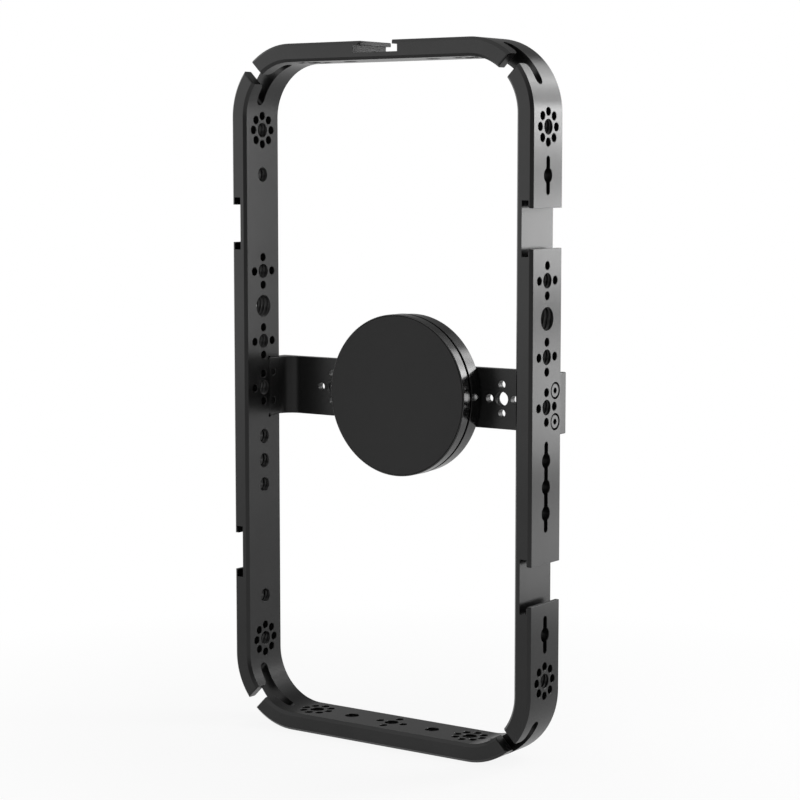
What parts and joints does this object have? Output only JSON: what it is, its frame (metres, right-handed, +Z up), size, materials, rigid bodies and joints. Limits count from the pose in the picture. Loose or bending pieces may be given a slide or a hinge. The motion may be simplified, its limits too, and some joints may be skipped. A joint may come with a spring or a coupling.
{
  "type": "phone cage",
  "caption": "Tall machined ring for a phone, with tapped and pinned hole patterns, accessory shoes and strap slots, and a magnetic head that turns on a crossbar.",
  "frame": {"origin": "axis of the bottom rail's middle tapped hole, on the underside, at the middle of the rails' depth", "axes": "+Z up, +X across the cage to the right as seen from the phone's side, -Y towards the phone's side"},
  "size_m": [0.128, 0.0289, 0.248],
  "materials": {
    "frame_black": "bead-blasted black anodised aluminium",
    "bar_black": "satin black anodised aluminium",
    "screw_black": "black oxide steel",
    "pad_black": "matte silicone",
    "head_black": "polished black anodised aluminium",
    "neck_black": "matte black anodised aluminium",
    "bush_bronze": "sintered bronze",
    "spring_steel": "oiled spring steel",
    "pin_steel": "ground steel",
    "carrier_black": "moulded black plastic",
    "plate_steel": "zinc-plated mild steel",
    "magnet_nickel": "nickel-plated magnet"
  },
  "bodies": {
    "cage": {"cage_frame": "frame_black", "crossbar": "bar_black", "bar_screws_right": "screw_black", "bar_screws_left": "screw_black", "puck_base": "head_black", "base_pins": "pin_steel", "puck_screw": "screw_black", "disc_spring": "spring_steel", "retaining_ring": "spring_steel"},
    "head": {"head_shell": "head_black", "head_back_plate": "neck_black", "pivot_bush": "bush_bronze", "magnet_carrier": "carrier_black", "shunt_ring": "plate_steel", "grip_pad": "pad_black", "magnet_01": "magnet_nickel", "magnet_02": "magnet_nickel", "magnet_03": "magnet_nickel", "magnet_04": "magnet_nickel", "magnet_05": "magnet_nickel", "magnet_06": "magnet_nickel", "magnet_07": "magnet_nickel", "magnet_08": "magnet_nickel", "magnet_09": "magnet_nickel", "magnet_10": "magnet_nickel", "magnet_11": "magnet_nickel", "magnet_12": "magnet_nickel", "magnet_13": "magnet_nickel", "magnet_14": "magnet_nickel", "magnet_15": "magnet_nickel", "magnet_16": "magnet_nickel", "magnet_17": "magnet_nickel", "magnet_18": "magnet_nickel"}
  },
  "joints": [
    {"name": "head_turn", "type": "hinge", "parent": "cage", "child": "head", "pos_m": [0, 0.0027, 0.124], "axis": [0, 1, 0], "continuous": true}
  ]
}
